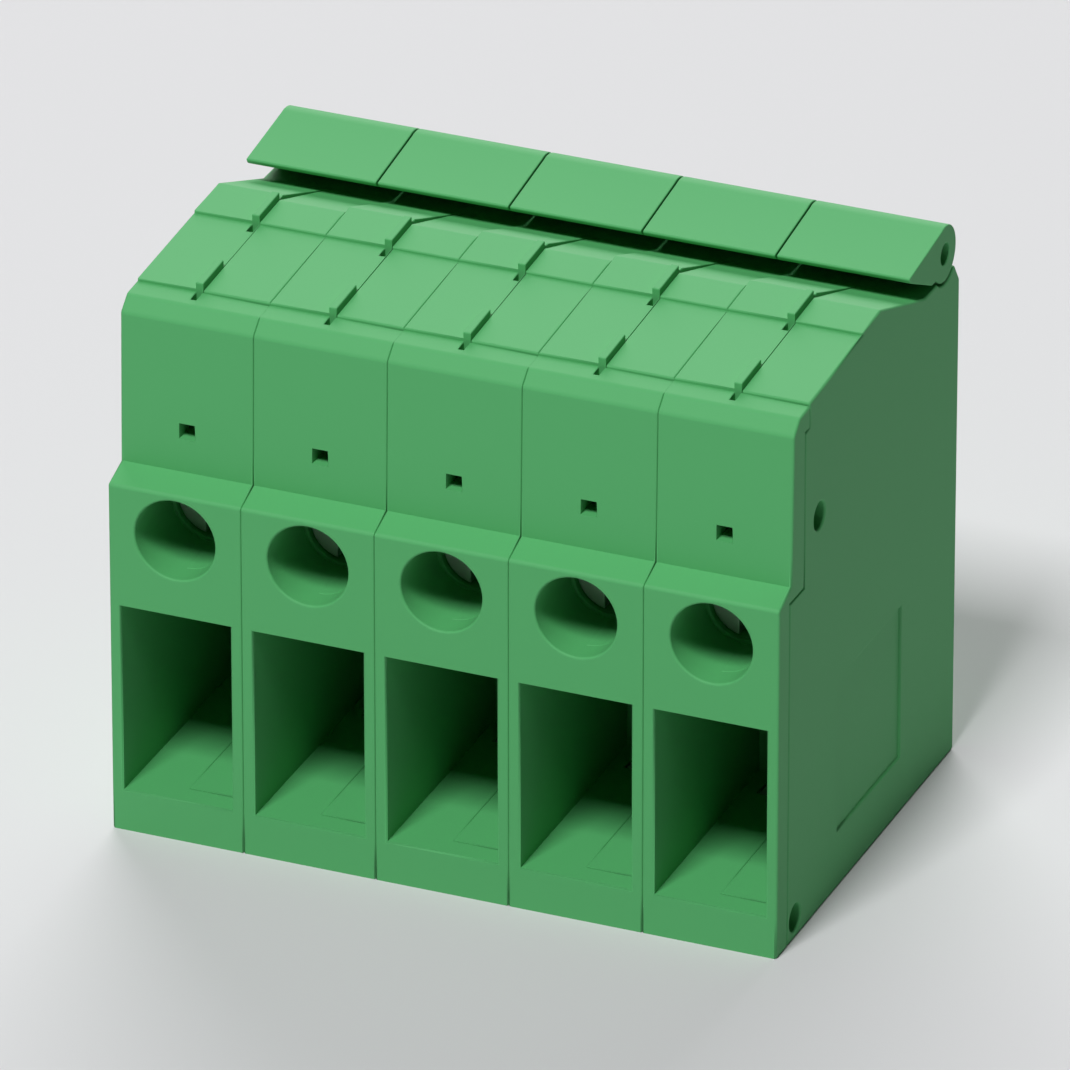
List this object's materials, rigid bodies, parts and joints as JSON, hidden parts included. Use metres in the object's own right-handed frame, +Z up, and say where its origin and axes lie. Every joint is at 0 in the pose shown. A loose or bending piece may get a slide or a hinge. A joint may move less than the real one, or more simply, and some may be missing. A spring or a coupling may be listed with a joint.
{
  "type": "pcb screw terminal",
  "caption": "Row of screw terminal poles for a circuit board, with wire entries and screws in the front face, wedge clamps inside and a hinged flap on each pole.",
  "frame": {"origin": "centre of the housing's footprint, on the board plane", "axes": "+X along the row to the right seen from the wiring face, -Y out of the wiring face, +Z up from the board"},
  "size_m": [0.0382, 0.0256, 0.0357],
  "materials": {
    "moulded_polyamide": "fine matt moulded surface",
    "zinc_plated_screw": "zinc plated, satin",
    "zinc_plated_steel": "zinc plated, satin",
    "tinned_copper": "matt tin plating on copper"
  },
  "bodies": {
    "housing": {"housing_shell_1": "moulded_polyamide", "housing_shell_2": "moulded_polyamide", "housing_shell_3": "moulded_polyamide", "housing_shell_4": "moulded_polyamide", "housing_shell_5": "moulded_polyamide", "side_cover_1": "moulded_polyamide", "side_cover_2": "moulded_polyamide", "side_cover_3": "moulded_polyamide", "side_cover_4": "moulded_polyamide", "side_cover_5": "moulded_polyamide", "clamp_frame_1": "zinc_plated_steel", "clamp_frame_2": "zinc_plated_steel", "clamp_frame_3": "zinc_plated_steel", "clamp_frame_4": "zinc_plated_steel", "clamp_frame_5": "zinc_plated_steel", "current_bar_1": "tinned_copper", "current_bar_2": "tinned_copper", "current_bar_3": "tinned_copper", "current_bar_4": "tinned_copper", "current_bar_5": "tinned_copper", "test_contact_1": "tinned_copper", "test_contact_2": "tinned_copper", "test_contact_3": "tinned_copper", "test_contact_4": "tinned_copper", "test_contact_5": "tinned_copper"},
    "clamp_screw_1_body": {"clamp_screw_1": "zinc_plated_screw"},
    "clamp_screw_2_body": {"clamp_screw_2": "zinc_plated_screw"},
    "clamp_screw_3_body": {"clamp_screw_3": "zinc_plated_screw"},
    "clamp_screw_4_body": {"clamp_screw_4": "zinc_plated_screw"},
    "clamp_screw_5_body": {"clamp_screw_5": "zinc_plated_screw"},
    "wedge_nut_1_body": {"wedge_nut_1": "zinc_plated_steel"},
    "wedge_nut_2_body": {"wedge_nut_2": "zinc_plated_steel"},
    "wedge_nut_3_body": {"wedge_nut_3": "zinc_plated_steel"},
    "wedge_nut_4_body": {"wedge_nut_4": "zinc_plated_steel"},
    "wedge_nut_5_body": {"wedge_nut_5": "zinc_plated_steel"},
    "pressure_piece_1_body": {"pressure_piece_1": "zinc_plated_steel"},
    "pressure_piece_2_body": {"pressure_piece_2": "zinc_plated_steel"},
    "pressure_piece_3_body": {"pressure_piece_3": "zinc_plated_steel"},
    "pressure_piece_4_body": {"pressure_piece_4": "zinc_plated_steel"},
    "pressure_piece_5_body": {"pressure_piece_5": "zinc_plated_steel"},
    "label_flap_1_body": {"label_flap_1": "moulded_polyamide"},
    "label_flap_2_body": {"label_flap_2": "moulded_polyamide"},
    "label_flap_3_body": {"label_flap_3": "moulded_polyamide"},
    "label_flap_4_body": {"label_flap_4": "moulded_polyamide"},
    "label_flap_5_body": {"label_flap_5": "moulded_polyamide"}
  },
  "joints": [
    {"name": "screw_turn_1", "type": "hinge", "parent": "housing", "child": "clamp_screw_1_body", "pos_m": [-0.01524, -0.0078, 0.0179], "axis": [0, 1, 0], "range_deg": [0, 2160]},
    {"name": "wedge_slide_1", "type": "slide", "parent": "housing", "child": "wedge_nut_1_body", "axis": [0, -1, 0], "range_m": [0, 0.003]},
    {"name": "jaw_slide_1", "type": "slide", "parent": "housing", "child": "pressure_piece_1_body", "axis": [0, 0, -1], "range_m": [0, 0.003]},
    {"name": "flap_hinge_1", "type": "hinge", "parent": "housing", "child": "label_flap_1_body", "pos_m": [-0.01524, 0.0107, 0.03055], "axis": [-1, 0, 0], "range_deg": [0, 100]},
    {"name": "screw_turn_2", "type": "hinge", "parent": "housing", "child": "clamp_screw_2_body", "pos_m": [-0.00762, -0.0078, 0.0179], "axis": [0, 1, 0], "range_deg": [0, 2160]},
    {"name": "wedge_slide_2", "type": "slide", "parent": "housing", "child": "wedge_nut_2_body", "axis": [0, -1, 0], "range_m": [0, 0.003]},
    {"name": "jaw_slide_2", "type": "slide", "parent": "housing", "child": "pressure_piece_2_body", "axis": [0, 0, -1], "range_m": [0, 0.003]},
    {"name": "flap_hinge_2", "type": "hinge", "parent": "housing", "child": "label_flap_2_body", "pos_m": [-0.00762, 0.0107, 0.03055], "axis": [-1, 0, 0], "range_deg": [0, 100]},
    {"name": "screw_turn_3", "type": "hinge", "parent": "housing", "child": "clamp_screw_3_body", "pos_m": [0, -0.0078, 0.0179], "axis": [0, 1, 0], "range_deg": [0, 2160]},
    {"name": "wedge_slide_3", "type": "slide", "parent": "housing", "child": "wedge_nut_3_body", "axis": [0, -1, 0], "range_m": [0, 0.003]},
    {"name": "jaw_slide_3", "type": "slide", "parent": "housing", "child": "pressure_piece_3_body", "axis": [0, 0, -1], "range_m": [0, 0.003]},
    {"name": "flap_hinge_3", "type": "hinge", "parent": "housing", "child": "label_flap_3_body", "pos_m": [0, 0.0107, 0.03055], "axis": [-1, 0, 0], "range_deg": [0, 100]},
    {"name": "screw_turn_4", "type": "hinge", "parent": "housing", "child": "clamp_screw_4_body", "pos_m": [0.00762, -0.0078, 0.0179], "axis": [0, 1, 0], "range_deg": [0, 2160]},
    {"name": "wedge_slide_4", "type": "slide", "parent": "housing", "child": "wedge_nut_4_body", "axis": [0, -1, 0], "range_m": [0, 0.003]},
    {"name": "jaw_slide_4", "type": "slide", "parent": "housing", "child": "pressure_piece_4_body", "axis": [0, 0, -1], "range_m": [0, 0.003]},
    {"name": "flap_hinge_4", "type": "hinge", "parent": "housing", "child": "label_flap_4_body", "pos_m": [0.00762, 0.0107, 0.03055], "axis": [-1, 0, 0], "range_deg": [0, 100]},
    {"name": "screw_turn_5", "type": "hinge", "parent": "housing", "child": "clamp_screw_5_body", "pos_m": [0.01524, -0.0078, 0.0179], "axis": [0, 1, 0], "range_deg": [0, 2160]},
    {"name": "wedge_slide_5", "type": "slide", "parent": "housing", "child": "wedge_nut_5_body", "axis": [0, -1, 0], "range_m": [0, 0.003]},
    {"name": "jaw_slide_5", "type": "slide", "parent": "housing", "child": "pressure_piece_5_body", "axis": [0, 0, -1], "range_m": [0, 0.003]},
    {"name": "flap_hinge_5", "type": "hinge", "parent": "housing", "child": "label_flap_5_body", "pos_m": [0.01524, 0.0107, 0.03055], "axis": [-1, 0, 0], "range_deg": [0, 100]}
  ],
  "couplings": [
    {"joint": "screw_turn_1", "follows": "wedge_slide_1", "rad_per_m": 12566},
    {"joint": "jaw_slide_1", "follows": "wedge_slide_1", "ratio": 1},
    {"joint": "screw_turn_2", "follows": "wedge_slide_2", "rad_per_m": 12566},
    {"joint": "jaw_slide_2", "follows": "wedge_slide_2", "ratio": 1},
    {"joint": "screw_turn_3", "follows": "wedge_slide_3", "rad_per_m": 12566},
    {"joint": "jaw_slide_3", "follows": "wedge_slide_3", "ratio": 1},
    {"joint": "screw_turn_4", "follows": "wedge_slide_4", "rad_per_m": 12566},
    {"joint": "jaw_slide_4", "follows": "wedge_slide_4", "ratio": 1},
    {"joint": "screw_turn_5", "follows": "wedge_slide_5", "rad_per_m": 12566},
    {"joint": "jaw_slide_5", "follows": "wedge_slide_5", "ratio": 1}
  ]
}
